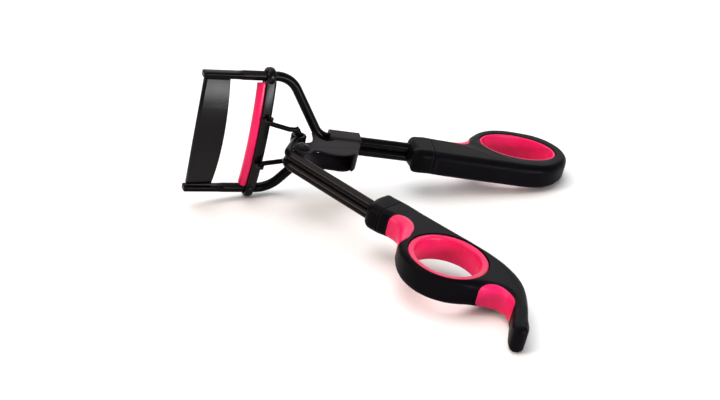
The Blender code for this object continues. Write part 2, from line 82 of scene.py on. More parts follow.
LEVER_TIP = Vector((30.4, 0.0, 6.0))
LINK_EAR = Vector((20.3, 7.7, 6.65))
LINK_R = 0.75
EYE_R = 2.35
EYE_BORE = 1.45
SHANK_OFFSET = 3.5
WIRE_Y = 1.56
SHANK_END = 36.5                             # of the moving wires, along the handle
EAR_INNER = 3.3
EAR_THICKNESS = 0.5
RIVET_R = 1.0
HEAD_R = 1.7
WASHER_R = 2.1
SLEEVE_R = 2.1
SLEEVE_Y = 2.1                               # middle of the sleeve's round sides
SLEEVE_START, SLEEVE_END = -9.9, -0.6        # along the fixed handle
NECK = -12.7                                 # the rails' diagonals meet the shank here
FIXED_SHANK = 39.0                           # length of the rails' shank wires
FIXED_ANGLE = radians(12.47)                 # of each handle to the rails
MOVING_ANGLE = radians(61.85)
FIXED_ORIGIN = Vector((50.0, 0.0, 7.2))
GRIP_HALF = 3.9                              # half the thickness
GRIP_ROUND = 2.3                             # radius of the long edges, where there's room
FIXED_SEAM = 22.5                            # collar and grip meet here, along the handle
MOVING_SEAM = 36.4
SEAM_GAP = 0.24
SLOT_PLAY = 0.12                             # between the wires and what is moulded round them

# outlines: along and across the handle for the grips, X and Z of the tool for the bracket;
# "corner" points aren't smoothed
FIXED_GRIP = [(15.7, 3.6), (16.5, 5.9), (22.5, 6.8), (34, 7.4), (45, 7.7), (53.5, 7.8), (59, 6.7),
              (64, 3.0), (67.3, -2.2), (67.8, -7), (65.8, -11.6), (61.2, -15.5), (54, -17.2),
              (46.6, -16.9), (41.2, -14.5), (37.2, -10.5), (34.4, -6.5), (31.6, -4.9), (26, -4.9),
              (18.2, -5.2), (16.0, -3.9)]
FIXED_RING = (51.5, -5.5, 12.4, 8.0, 4.9)    # centre, semi-axes, tilt in degrees
FIXED_RIM = (3.75, 0.7, 1.0, 0.7)            # half height, lip, depth, squareness
FIXED_INLAY = [(26.2, -6.5), (27.8, -3.6), (30.2, -2.8), (32.6, -2.3), (34.6, -3.2), (35.7, -5.6),
               (36.2, -8.8), (35.2, -12), (32, -13), (28, -10)]
MOVING_GRIP = [(30.7, 3.2), (30.4, -1.1), (31.2, -3.2), (33.8, -4.0), (45.8, -4.5), (54, -4.8),
               (62, -5.1), (69, -4.9), (75, -3.7), (80.6, -1.2), (84.6, 2.2), (88.6, 7.1),
               (92.1, 12.0), (95.4, 16.3), (95.8, 17.9), (95.0, 19.3), (93.5, 19.7), (92.1, 18.9),
               (89.8, 15.8), (87.1, 11.7), (84.3, 9.3), (81.2, 8.3), (78.2, 9.6), (75.9, 11.8),
               (72.7, 15.2), (68.9, 18.1), (64.2, 20.0), (59.4, 20.2), (54.2, 18.4), (50.2, 15.0),
               (47.1, 10.8), (44.4, 7.2), (40.9, 6.2), (36, 7.3), (32.2, 6.9)]
MOVING_RING = (62.1, 8.2, 11.3, 11.2, 0.0)
MOVING_RIM = (3.6, 1.5, 2.1, 0.5)
FRONT_INLAY = [(39.6, 12), (39.7, 5.6), (41.3, 3.4), (44, 3.0), (47, 4.8), (49, 8.0), (50, 13),
               (46, 17)]
TAIL_INLAY = [(75.6, 18), (75.9, 11.4), (77.0, 8.9), (79.0, 7.4), (81.6, 7.2), (84.1, 8.1),
              (85.9, 9.7), (86.9, 12.2), (86.4, 17), (80, 20)]
# the bracket's two ears; both start with the same lobe in front of the rivet
LOBE = [(29.9, 12.6), (27.2, 12.9), (25.7, 15.2), (25.9, 17.2), (27.8, 18.8)]
BRACKET_FAR = [*LOBE, (29.6, 18.4), (31.6, 17.0), (33.2, 17.5), (35.8, 18.9), (39.4, 19.6),
               (42.6, 18.9), (45, 17.0), (46.8, 14.2), (47.8, 11), (48.6, 8.6, "corner"),
               (48.4, 7.6, "corner"), (40.6, 7.0, "corner"), (40.2, 10.6, "corner"),
               (37.2, 11.3), (35.7, 9.9), (35.1, 7.6), (34.9, 5.9, "corner"),
               (34.3, 5.9, "corner"), (33.4, 9.4), (32.0, 12.0)]
BRACKET_NEAR = [*LOBE, (30.4, 17.8), (33.2, 16.1), (36.2, 15.1), (38.8, 15.6), (42.3, 16.4),
                (45.2, 15.3), (47.5, 12.8), (48.8, 10.2), (49.2, 8.8, "corner"),
                (48.4, 7.6, "corner"), (40.6, 5.2, "corner"), (38.9, 5.2, "corner"),
                (37.2, 5.9), (34.2, 6.0), (33.0, 8.4), (31.7, 11.4)]


# ---- the three frames, from the joints ---------------------------------------------------------
def joint(name):
    return next(j for j in frame["joints"] if j["name"] == name)


y_axis = Vector(joint("handle_pivot")["axis"]).normalized()
x_axis = -Vector(joint("jaw_slide")["axis"]).normalized()
z_axis = x_axis.cross(y_axis).normalized()
pivot_spot = Vector(joint("handle_pivot")["pos_m"])
origin = pivot_spot - (x_axis * PIVOT.x + z_axis * PIVOT.z) * MM
TOOL = Matrix.Translation(origin) @ Matrix((x_axis, y_axis, z_axis)).transposed().to_4x4()
FIXED = TOOL @ Matrix.Translation(FIXED_ORIGIN * MM) @ Matrix.Rotation(-FIXED_ANGLE, 4, 'Y')
MOVING = TOOL @ Matrix.Translation(PIVOT * MM) @ Matrix.Rotation(-MOVING_ANGLE, 4, 'Y')


# ---- node helpers ------------------------------------------------------------------------------
class Shader:
    """Small wrapper that builds the node tree of one material."""

    def __init__(self, name):
        self.mat = bpy.data.materials.new(name)
        self.mat.use_nodes = True
        self.tree = self.mat.node_tree
        self.bsdf = self.tree.nodes["Principled BSDF"]
        coords = self.tree.nodes.new("ShaderNodeTexCoord")
        self.place = coords.outputs["Object"]

    def link(self, source, target):
        self.tree.links.new(source, target)

    def noise(self, per_mm, detail, rough=0.5):
        node = self.tree.nodes.new("ShaderNodeTexNoise")
        node.inputs["Scale"].default_value = per_mm / MM
        node.inputs["Detail"].default_value = detail
        node.inputs["Roughness"].default_value = rough
        self.link(self.place, node.inputs["Vector"])
        return node.outputs["Fac"]

    def cells(self, per_mm):
        node = self.tree.nodes.new("ShaderNodeTexVoronoi")
        node.inputs["Scale"].default_value = per_mm / MM
        self.link(self.place, node.inputs["Vector"])
        return node.outputs["Distance"]

    def ramp(self, source, stops):
        """stops: [(position, value or colour), ...]"""
        node = self.tree.nodes.new("ShaderNodeValToRGB")
        ramp = node.color_ramp
        while len(ramp.elements) < len(stops):
            ramp.elements.new(0.5)
        for element, (position, value) in zip(ramp.elements, stops):
            element.position = position
            colour = (value,) * 3 if isinstance(value, (int, float)) else value
            element.color = (*colour, 1.0)
        self.link(source, node.inputs["Fac"])
        return node.outputs["Color"]

    def mix(self, share, first, second):
        node = self.tree.nodes.new("ShaderNodeMix")
        node.data_type = 'RGBA'
        for value, socket in ((share, "Factor"), (first, "A"), (second, "B")):
            target = next(s for s in node.inputs if s.name == socket
                          and s.type == ('VALUE' if socket == "Factor" else 'RGBA'))
            if isinstance(value, bpy.types.NodeSocket):
                self.link(value, target)
            else:
                target.default_value = value if socket == "Factor" else (*value, 1.0)
        return next(s for s in node.outputs if s.type == 'RGBA')

    def sum(self, first, second, weight):
        node = self.tree.nodes.new("ShaderNodeMath")
        node.operation = 'MULTIPLY_ADD'
        self.link(second, node.inputs[0])
        node.inputs[1].default_value = weight
        self.link(first, node.inputs[2])
        return node.outputs[0]

    def edges(self, low, high):
        """1 on convex edges, 0 on flat parts."""
        geometry = self.tree.nodes.new("ShaderNodeNewGeometry")
        return self.ramp(geometry.outputs["Pointiness"], [(low, 0.0), (high, 1.0)])

    def bump(self, height, depth_mm, strength):
        node = self.tree.nodes.new("ShaderNodeBump")
        node.inputs["Strength"].default_value = strength
        node.inputs["Distance"].default_value = depth_mm * MM
        self.link(height, node.inputs["Height"])
        self.link(node.outputs["Normal"], self.bsdf.inputs["Normal"])

    def set(self, **values):
        for name, value in values.items():
            self.bsdf.inputs[name.replace("_", " ")].default_value = value


def lacquer(name, tone=(0.0014, 0.0013, 0.0015), gloss=(0.15, 0.25), worn=(0.010, 0.008, 0.008),
            level=0.055):
    """Black lacquer on steel: faint orange peel, dust-dull patches, thinner paint on edges."""
    s = Shader(name)
    broad = s.noise(0.09, 4)
    fine = s.noise(1.4, 2)
    lighter = tuple(c * 1.8 for c in tone)
    body = s.ramp(broad, [(0.35, tone), (0.75, lighter)])
    s.link(s.mix(s.edges(0.54, 0.62), body, worn), s.bsdf.inputs["Base Color"])
    s.link(s.ramp(s.sum(broad, fine, 0.25), [(0.35, gloss[0]), (0.85, gloss[1])]),
           s.bsdf.inputs["Roughness"])
    s.bump(s.sum(s.noise(0.55, 2), fine, 0.2), 0.012, 0.4)
    s.set(Specular_IOR_Level=level)
    return s.mat


def soft_touch(name, tone=(0.0013, 0.0011, 0.0018), level=0.03, gloss=(0.34, 0.48)):
    """Rubbery black coating: fine grain, satin sheen, slightly polished where fingers rest."""
    s = Shader(name)
    grain = s.noise(5.0, 3)
    broad = s.noise(0.07, 4, 0.6)
    lighter = tuple(c * 1.7 for c in tone)
    body = s.ramp(broad, [(0.3, tone), (0.8, lighter)])
    rubbed = tuple(c * 3.0 for c in tone)
    s.link(s.mix(s.edges(0.52, 0.58), body, rubbed), s.bsdf.inputs["Base Color"])
    s.link(s.ramp(s.sum(broad, grain, 0.2), [(0.3, gloss[0]), (0.9, gloss[1])]),
           s.bsdf.inputs["Roughness"])
    s.bump(s.sum(grain, s.cells(3.0), 0.4), 0.008, 0.4)
    s.set(Specular_IOR_Level=level)
    return s.mat


def soft_pink(name, deep, light, rough=(0.30, 0.46)):
    """Pink elastomer: mottled colour, fine moulded grain, a little light through the thin parts."""
    s = Shader(name)
    grain = s.noise(3.2, 3)
    broad = s.noise(0.11, 4, 0.6)
    body = s.ramp(s.sum(broad, grain, 0.15), [(0.3, deep), (0.85, light)])
    s.link(body, s.bsdf.inputs["Base Color"])
    s.link(s.ramp(s.sum(broad, grain, 0.3), [(0.35, rough[0]), (0.95, rough[1])]),
           s.bsdf.inputs["Roughness"])
    s.bump(s.sum(grain, broad, 0.5), 0.010, 0.5)
    s.set(Subsurface_Weight=0.12, Subsurface_Scale=0.0006, Specular_IOR_Level=0.22)
    s.bsdf.inputs["Subsurface Radius"].default_value = (1.0, 0.25, 0.3)
    return s.mat


BLACK = lacquer("black_lacquer")
PLATE = lacquer("plate_lacquer", gloss=(0.18, 0.28), level=0.13)
STEEL = lacquer("blackened_steel", (0.003, 0.0025, 0.003), (0.22, 0.36), (0.02, 0.018, 0.018), 0.1)
SATIN = lacquer("satin_sheet", (0.0022, 0.0018, 0.0024), (0.30, 0.42), (0.012, 0.010, 0.012), 0.025)
SHELL = soft_touch("soft_touch_black")
COLLAR = soft_touch("collar_black", (0.0013, 0.0012, 0.0015), 0.025, (0.30, 0.44))
NYLON = soft_touch("black_nylon", (0.002, 0.002, 0.002), 0.05)
PINK = soft_pink("pink_soft_grip", (0.54, 0.003, 0.045), (0.68, 0.008, 0.12))
SILICONE = soft_pink("pink_silicone", (0.56, 0.002, 0.050), (0.70, 0.006, 0.10), (0.22, 0.36))


# ---- mesh helpers ------------------------------------------------------------------------------
def smooth(mesh):
    mesh.shade_smooth()
    mesh.set_sharp_from_angle(angle=radians(35))


def make(name, shape, space, mat=None):
    """Object from a bmesh given in millimetres of the frame `space`; without mat it is a cutter
    or takes its material from what it is joined to."""
    bmesh.ops.scale(shape, vec=(MM, MM, MM), verts=shape.verts)
    mesh = bpy.data.meshes.new(name)
    shape.to_mesh(mesh)
    shape.free()
    smooth(mesh)
    obj = bpy.data.objects.new(name, mesh)
    obj.matrix_world = space
    bpy.context.scene.collection.objects.link(obj)
    if mat is not None:
        mesh.materials.append(mat)
    return obj


def baked(obj):
    """Apply all modifiers."""
    bpy.context.view_layer.update()
    graph = bpy.context.evaluated_depsgraph_get()
    mesh = bpy.data.meshes.new_from_object(obj.evaluated_get(graph))
    obj.modifiers.clear()
    old, obj.data = obj.data, mesh
    bpy.data.meshes.remove(old)
    smooth(mesh)
    return obj


def boolean(obj, tools, operation='DIFFERENCE'):
    """Join, cut or intersect with the tools, which are used up."""
    for tool in tools:
        modifier = obj.modifiers.new(operation.lower(), 'BOOLEAN')
        modifier.operation = operation
        modifier.object = tool
        modifier.solver = 'EXACT'
    baked(obj)
    for tool in tools:
        bpy.data.objects.remove(tool)


def bevel(obj, width, segments, angle):
    """Round the edges that are sharper than the angle, in degrees."""
    rounded = obj.modifiers.new("rounded_edges", 'BEVEL')
    rounded.width = width * MM
    rounded.segments = segments
    rounded.limit_method = 'ANGLE'
    rounded.angle_limit = radians(angle)
    rounded.harden_normals = False
    return baked(obj)


def piece(obj, body, slot, *nodes):
    """The object rides on a body and stands for CAD nodes, which it hides; slot is not used."""
    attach(obj, body)
    if nodes:
        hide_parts(*nodes)


def arc(centre, radius, start, end, steps):
    """Points of a circular arc, both ends included."""
    angles = [start + (end - start) * k / steps for k in range(steps + 1)]
    return [(centre[0] + radius * cos(a), centre[1] + radius * sin(a)) for a in angles]


def bent_wire(corners, radii, steps=14):
    """Polyline through the corners with each inner corner rounded to its bend radius."""
    path = [corners[0]]
    for before, corner, after, radius in zip(corners, corners[1:], corners[2:], radii):
        come = (corner - before).normalized()
        leave = (after - corner).normalized()
        turn = come.angle(leave)
        inward = (leave - come).normalized()
        centre = corner + inward * (radius / cos(turn / 2))
        first = corner - come * (radius * tan(turn / 2)) - centre
        axis = come.cross(leave).normalized()
        path += [centre + Matrix.Rotation(turn * k / steps, 3, axis) @ first
                 for k in range(steps + 1)]
    path.append(corners[-1])
    return path


def densified(path, spacing):
    """Insert points so that no step is longer than the spacing."""
    fine = [path[0]]
    for start, end in zip(path, path[1:]):
        count = max(1, int((end - start).length / spacing))
        fine += [start.lerp(end, k / count) for k in range(1, count + 1)]
    return fine


def tube(path, radius, sides, side_hint=Vector((0, 1, 0))):
    """Round bar along a path, with rounded ends.  radius is a number or a function that gives
    (half width, half height, squareness) for a point."""
    end_round, end_steps = 0.35, 4
    shape = bmesh.new()
    side = side_hint
    rings = []
    for k, point in enumerate(path):
        before, after = path[max(k - 1, 0)], path[min(k + 1, len(path) - 1)]
        along = (after - before).normalized()
        side = (side - along * side.dot(along)).normalized()
        rings.append((point, along, side,
                      radius(point) if callable(radius) else (radius, radius, 1.0)))

    def loop_of(ring, inset=0.0, shrink=1.0):
        point, along, side, (wide, high, square) = ring
        up = along.cross(side)
        verts = []
        for i in range(sides):
            a = 2 * pi * i / sides
            c, s = cos(a), sin(a)
            x = abs(c) ** square * (1 if c > 0 else -1) * wide * shrink
            z = abs(s) ** square * (1 if s > 0 else -1) * high * shrink
            verts.append(shape.verts.new(point + along * inset + side * x + up * z))
        return verts

    def rounded_end(ring, direction, angles):
        reach = direction * min(ring[3][:2]) * end_round
        return [loop_of(ring, reach * (1 - cos(a)), 1 - end_round * (1 - sin(a))) for a in angles]

    quarter = [pi / 2 * k / end_steps for k in range(end_steps)]
    loops = rounded_end(rings[0], 1, quarter)
    loops += [loop_of(ring) for ring in rings[1:-1]]
    loops += rounded_end(rings[-1], -1, quarter[::-1])
    for one, two in zip(loops, loops[1:]):
        for i in range(sides):
            j = (i + 1) % sides
            shape.faces.new((one[i], one[j], two[j], two[i]))
    shape.faces.new(list(reversed(loops[0])))
    shape.faces.new(loops[-1])
    bmesh.ops.recalc_face_normals(shape, faces=shape.faces)
    return shape


def turned(profile, spot, steps=48, axis='Y'):
    """Closed profile of (radius, place along the axis) turned about an axis through the spot."""
    shape = bmesh.new()
    rows = []
    for k in range(steps):
        a = 2 * pi * k / steps
        row = []
        for radius, place in profile:
            point = ((radius * cos(a), place, radius * sin(a)) if axis == 'Y'
                     else (place, radius * cos(a), radius * sin(a)))
            row.append(shape.verts.new(Vector(point) + Vector(spot)))
        rows.append(row)
    for k in range(steps):
        here, there = rows[k], rows[(k + 1) % steps]
        for i in range(len(profile)):
            j = (i + 1) % len(profile)
            shape.faces.new((here[i], there[i], there[j], here[j]))
    bmesh.ops.remove_doubles(shape, verts=shape.verts, dist=0.001)
    bmesh.ops.recalc_face_normals(shape, faces=shape.faces)
    return shape


def drill(radius, half, spot, space, steps=32, axis='Y'):
    """Cutter for a round bore through the spot."""
    core = 0.01
    profile = [(radius, half), (core, half), (core, -half), (radius, -half)]
    return make("drill", turned(profile, spot, steps, axis), space)


def outline(name, points, half, space, grow=0.0, y=0.0, resolution=14):
    """Flat outline in the XZ plane of `space`, thickened to +-half along Y, edges left sharp."""
    curve = bpy.data.curves.new(name, 'CURVE')
    curve.dimensions = '2D'
    curve.fill_mode = 'BOTH'
    curve.resolution_u = resolution
    curve.extrude = half * MM
    curve.offset = grow * MM
    spline = curve.splines.new('BEZIER')
    spline.bezier_points.add(len(points) - 1)
    spline.use_cyclic_u = True
    for target, point in zip(spline.bezier_points, points):
        target.co = (point[0] * MM, point[1] * MM, 0.0)
        handle = 'VECTOR' if point[-1] == "corner" else 'AUTO'
        target.handle_left_type = handle
        target.handle_right_type = handle
    holder = bpy.data.objects.new(name + "_curve", curve)
    bpy.context.scene.collection.objects.link(holder)
    bpy.context.view_layer.update()
    graph = bpy.context.evaluated_depsgraph_get()
    mesh = bpy.data.meshes.new_from_object(holder.evaluated_get(graph))
    shape = bmesh.new()
    shape.from_mesh(mesh)
    bmesh.ops.remove_doubles(shape, verts=shape.verts, dist=0.002 * MM)
    turn = Matrix.Translation((0, y * MM, 0)) @ Matrix.Rotation(pi / 2, 4, 'X')
    bmesh.ops.transform(shape, matrix=Matrix.Scale(1 / MM, 4) @ turn, verts=shape.verts)
    bmesh.ops.recalc_face_normals(shape, faces=shape.faces)
    bpy.data.objects.remove(holder)
    bpy.data.curves.remove(curve)
    bpy.data.meshes.remove(mesh)
    return make(name, shape, space)


def contour(points, steps=14):
    """Smooth closed curve through the points, as an array of (x, z) rows."""
    handle_share = 0.39                      # length of a curve handle against its chord
    spots = [Vector(point[:2]) for point in points]
    count = len(spots)
    ways = [(spots[(k + 1) % count] - spots[k]).normalized() for k in range(count)]
    tangents = [(ways[k - 1] + ways[k]).normalized() for k in range(count)]
    line = []
    for k in range(count):
        start, end = spots[k], spots[(k + 1) % count]
        reach = handle_share * (end - start).length
        knots = (start, start + reach * tangents[k], end - reach * tangents[(k + 1) % count], end)
        line += interpolate_bezier(*knots, steps + 1)[:-1]
    return np.array([(spot.x, spot.y) for spot in line])


def inward_normals(line):
    """Unit normals of a closed curve, towards its inside."""
    along = np.roll(line, -1, axis=0) - np.roll(line, 1, axis=0)
    inward = np.stack([-along[:, 1], along[:, 0]], axis=1)
    inward /= np.linalg.norm(inward, axis=1)[:, None]
    after = np.roll(line, -1, axis=0)
    area = np.sum(line[:, 0] * after[:, 1] - line[:, 1] * after[:, 0])
    return inward * np.sign(area)


def room_inside(line, inward):
    """Radius of the largest circle that fits inside the curve and touches it at each point."""
    endless, neighbours = 1e6, 5
    count = len(line)
    gap = line[None, :, :] - line[:, None, :]
    ahead = np.einsum("ijk,ik->ij", gap, inward)
    room = np.where(ahead > 1e-3, np.sum(gap ** 2, axis=2) / np.maximum(2 * ahead, 1e-6), endless)
    apart = np.abs(np.arange(count)[None, :] - np.arange(count)[:, None])
    room[np.minimum(apart, count - apart) < neighbours] = endless
    return room.min(axis=1)


def wall_to_ring(line, ring):
    """Distance from each point of the curve to the rim of a finger ring."""
    x, z, long, short, tilt = ring
    turned_by = Matrix.Rotation(radians(tilt), 2)
    rim = np.array([turned_by @ Vector((long * cos(a), short * sin(a)))
                    for a in np.linspace(0, 2 * pi, 200)]) + (x, z)
    return np.linalg.norm(line[:, None, :] - rim[None, :, :], axis=2).min(axis=1)


def softened(name, points, ring, half, space, mat, layers=9):
    """Outline thickened to +-half along Y, its edges rounded less where little body is left."""
    first_share, edge_share, flat_share = 0.86, 0.9, 0.95    # of the room inside the outline
    margin, smoothings = 0.3, 40
    line = contour(points)
    count = len(line)
    inward = inward_normals(line)
    room = room_inside(line, inward)
    wall = wall_to_ring(line, ring) + margin
    radius = np.minimum(np.minimum(GRIP_ROUND, first_share * room), wall)
    for _ in range(smoothings):
        mean = (np.roll(radius, 1) + 2 * radius + np.roll(radius, -1)) / 4
        radius = np.minimum(mean, edge_share * room)
    quarter = [pi / 2 * k / layers for k in range(layers + 1)]
    levels = [(radius * (1 - cos(a)), half - radius * (1 - sin(a))) for a in quarter]
    levels.append((np.minimum(radius + margin, flat_share * room), np.full(count, half)))
    shape = bmesh.new()
    rings = []
    for inset, height in [(i, -h) for i, h in reversed(levels)] + levels:
        spots = line + inward * inset[:, None]
        rings.append([shape.verts.new((x, y, z)) for (x, z), y in zip(spots, height)])
    for low, high in zip(rings, rings[1:]):
        for k in range(count):
            shape.faces.new((low[k], low[(k + 1) % count], high[(k + 1) % count], high[k]))
    shape.faces.new(rings[0])
    shape.faces.new(rings[-1])
    bmesh.ops.remove_doubles(shape, verts=shape.verts, dist=0.004)
    bmesh.ops.recalc_face_normals(shape, faces=shape.faces)
    return make(name, shape, space, mat)


def block(name, low, high, space):
    """Box between two corners; a cutter."""
    low, high = Vector(low), Vector(high)
    shape = bmesh.new()
    bmesh.ops.create_cube(shape, size=1.0)
    bmesh.ops.scale(shape, vec=high - low, verts=shape.verts)
    bmesh.ops.translate(shape, vec=(low + high) / 2, verts=shape.verts)
    return make(name, shape, space)


def prism(name, section, low, high, space, mat=None, axis='Y'):
    """Closed section pushed from low to high along X (section in YZ) or along Y (in XZ)."""
    shape = bmesh.new()
    place = (lambda a, b: (a, low, b)) if axis == 'Y' else (lambda a, b: (low, a, b))
    face = shape.faces.new([shape.verts.new(place(a, b)) for a, b in section])
    grown = bmesh.ops.extrude_face_region(shape, geom=[face])
    moved = [item for item in grown["geom"] if isinstance(item, bmesh.types.BMVert)]
    reach = high - low
    bmesh.ops.translate(shape, verts=moved, vec=(0, reach, 0) if axis == 'Y' else (reach, 0, 0))
    bmesh.ops.recalc_face_normals(shape, faces=shape.faces)
    return make(name, shape, space, mat)


def round_the_wires(name, start, end, radius, z, space, mat=None, apart=WIRE_Y):
    """Bar whose section runs round both wires of a shank at the given radius."""
    section = [*arc((apart, z), radius, -pi / 2, pi / 2, 18),
               *arc((-apart, z), radius, pi / 2, 3 * pi / 2, 18)]
    return prism(name, section, start, end, space, mat, 'X')


def bowed(obj):
    """The head's sliding parts bow towards the plate in their middle."""
    for vertex in obj.data.vertices:
        share = vertex.co.y / (JAW_BOW_HALF_WIDTH * MM)
        vertex.co.x -= JAW_BOW * MM * max(0.0, 1.0 - share * share)
    return obj


def swept_on_lash_curve(section, half_width, steps=72):
    """Closed XZ section, given for the middle of the head, swept along the lash curve."""
    centre = Vector((0, 0, LASH_RISE - LASH_R))
    half_angle = atan2(half_width, sqrt(LASH_R ** 2 - half_width ** 2))
    shape = bmesh.new()
    verts = [shape.verts.new((x, 0.0, LASH_RISE + z)) for x, z in section]
    face = shape.faces.new(verts)
    bmesh.ops.rotate(shape, verts=verts, cent=centre, matrix=Matrix.Rotation(half_angle, 3, 'X'))
    bmesh.ops.spin(shape, geom=[face, *face.edges, *face.verts], cent=centre, axis=(1, 0, 0),
                   angle=-2 * half_angle, steps=steps)
    bmesh.ops.recalc_face_normals(shape, faces=shape.faces)
    return shape


# ---- head --------------------------------------------------------------------------------------
def rail_section(point):
    """Round wire that is pressed flat towards its tip."""
    flat = min(max((BLADE_END + BLADE_FADE / 2 - point.x) / BLADE_FADE, 0.0), 1.0)
    flat = flat * flat * (3 - 2 * flat)
    if abs(point.y) < RAIL_Y - 0.5:
        flat = 0.0
    wide = WIRE_R + (BLADE_HALF_WIDTH - WIRE_R) * flat
    high = WIRE_R + (BLADE_HALF_HEIGHT - WIRE_R) * flat
    return (wide, high, 1.0 - BLADE_SQUARENESS * flat)


def build_rail(tag, side):
    """Guide rail, diagonal and one wire of the fixed shank; side is +1 far, -1 near."""
    along = Vector((cos(FIXED_ANGLE), 0, sin(FIXED_ANGLE)))
    neck = FIXED_ORIGIN + along * NECK + Vector((0, side * WIRE_Y, 0))
    corners = [Vector((RAIL_TIP, side * RAIL_Y, 0)), Vector((RAIL_BEND, side * RAIL_Y, 0)), neck,
               neck + along * FIXED_SHANK]
    path = densified(bent_wire(corners, (8, 5.5)), 0.8)
    rail = make(tag + "_rail", tube(path, rail_section, 28), TOOL, BLACK)
    piece(rail, "frame", "black_lacquer", tag + "_rail_wire")


def build_plate():
    """Curved lash plate with a rolled front hem; only the front edge bows forward."""
    half = PLATE_THICKNESS / 2
    hem, hem_drop, bowed_share = 0.9, 0.35, 0.8
    roll = arc((hem, -hem_drop), hem, radians(75), radians(350), 20)
    tail = arc((PLATE_LENGTH - half * 0.7, 0), half, radians(-60), radians(60), 6)
    section = [*reversed(roll), *reversed(tail)]
    shape = swept_on_lash_curve(section, PLATE_HALF_WIDTH, 96)
    for vertex in shape.verts:
        forward = max(0.0, 1.0 - vertex.co.x / (bowed_share * PLATE_LENGTH))
        vertex.co.x -= PLATE_BOW * forward * (1.0 - (vertex.co.y / PLATE_HALF_WIDTH) ** 2)
    plate = bevel(make("lash_plate", shape, TOOL, PLATE), 0.15, 2, 50)
    piece(plate, "frame", "black_lacquer", "upper_lash_plate")


def build_jaw():
    """Sliding jaw: rounded channel, two guide loops round the rails and two link ears."""
    front, back, top = CHANNEL_FRONT, CHANNEL_BACK, CHANNEL_HALF_HEIGHT
    inside, fold = top - SHEET, 0.95
    outer = [(front, top), *arc((back - fold, top - fold), fold, pi / 2, 0, 6),
             *arc((back - fold, -top + fold), fold, 0, -pi / 2, 6), (front, -top)]
    cavity = [(front, -inside), (back - SHEET, -inside), (back - SHEET, inside), (front, inside)]
    channel = make("jaw_stamping", swept_on_lash_curve(outer + cavity, CHANNEL_HALF_WIDTH),
                   TOOL, PLATE)
    bevel(channel, 0.16, 3, 40)
    tools = []
    bores = []
    crown, half, core, play = 0.7, LOOP_LENGTH / 2, 0.4, 0.35
    ear_r, ear_half_thickness, ear_foot, eye_play = 1.25, 0.3, 2.3, 0.3
    for side in (1, -1):
        loop = [(LOOP_R - crown + crown * cos(a), half * sin(a)) for a in
                [pi / 2 * (k / 6 - 1) for k in range(13)]]
        loop += [(core, half), (core, -half)]
        spot = (JAW_X, side * RAIL_Y, 0)
        tools.append(make("loop", turned(loop, spot, 48, 'X'), TOOL))
        bores.append(drill(WIRE_R + play, 4, spot, TOOL, 40, 'X'))
        head = arc((0, 0), ear_r, 0, pi, 18)
        ear = [(LINK_EAR.x + x, LINK_EAR.z + z, "corner")
               for x, z in [*head, (-ear_r + 0.05, -ear_foot), (ear_r - 0.05, -ear_foot)]]
        tools.append(outline("ear", ear, ear_half_thickness, TOOL, y=side * LINK_EAR.y,
                             resolution=1))
        eye = (LINK_EAR.x, side * LINK_EAR.y, LINK_EAR.z)
        bores.append(drill(LINK_R + eye_play, 3, eye, TOOL))
    boolean(channel, tools, 'UNION')
    boolean(channel, bores)
    bowed(channel)
    piece(channel, "jaw", "black_lacquer", "sliding_jaw")


def build_pad():
    """Soft pad: rounded bead that meets the plate, on a tongue held in the channel."""
    heel_x, back_x = CHANNEL_FRONT - 0.1, CHANNEL_BACK - SHEET - 0.1
    bead, nose_r, heel = 1.6, 1.35, 0.35
    tongue = CHANNEL_HALF_HEIGHT - SHEET - 0.12
    nose = arc((PAD_FRONT + nose_r, 0), nose_r, radians(90), radians(270), 14)
    nose = [(x, z * bead / nose_r) for x, z in nose]
    section = [*nose, *arc((heel_x - heel, -bead + heel), heel, -pi / 2, 0, 4),
               (heel_x, -tongue), (back_x, -tongue), (back_x, tongue), (heel_x, tongue),
               *arc((heel_x - heel, bead - heel), heel, 0, pi / 2, 4)]
    shape = swept_on_lash_curve(section, PAD_HALF_WIDTH, 96)
    pad = bowed(bevel(make("soft_lash_pad", shape, TOOL, SILICONE), 0.4, 5, 50))
    piece(pad, "jaw", "pink_silicone", "lash_pad")


def build_yoke():
    """Wire yoke from the two link ears to the lever tip."""
    tip = LEVER_TIP
    ear = LINK_EAR

    def along(x, y):
        share = (x - ear.x) / (tip.x - ear.x)
        return Vector((x, y, ear.z + (tip.z - ear.z) * share))

    corners = [along(ear.x, 8.7), along(ear.x, 6.7), along(26.8, 4.75), along(29.3, 4.5),
               along(tip.x, 5.6), along(tip.x, -5.2), along(29.0, -5.4), along(26.6, -6.1),
               along(ear.x, -6.8), along(ear.x, -8.7)]
    radii = (0.9, 4, 2, 1.1, 1.2, 2, 4, 0.9)
    path = densified(bent_wire(corners, radii, 10), 0.5)
    yoke = make("wire_yoke", tube(path, LINK_R, 20, Vector((0, 0, 1))), TOOL, BLACK)
    piece(yoke, "link", "black_lacquer", "link_yoke")


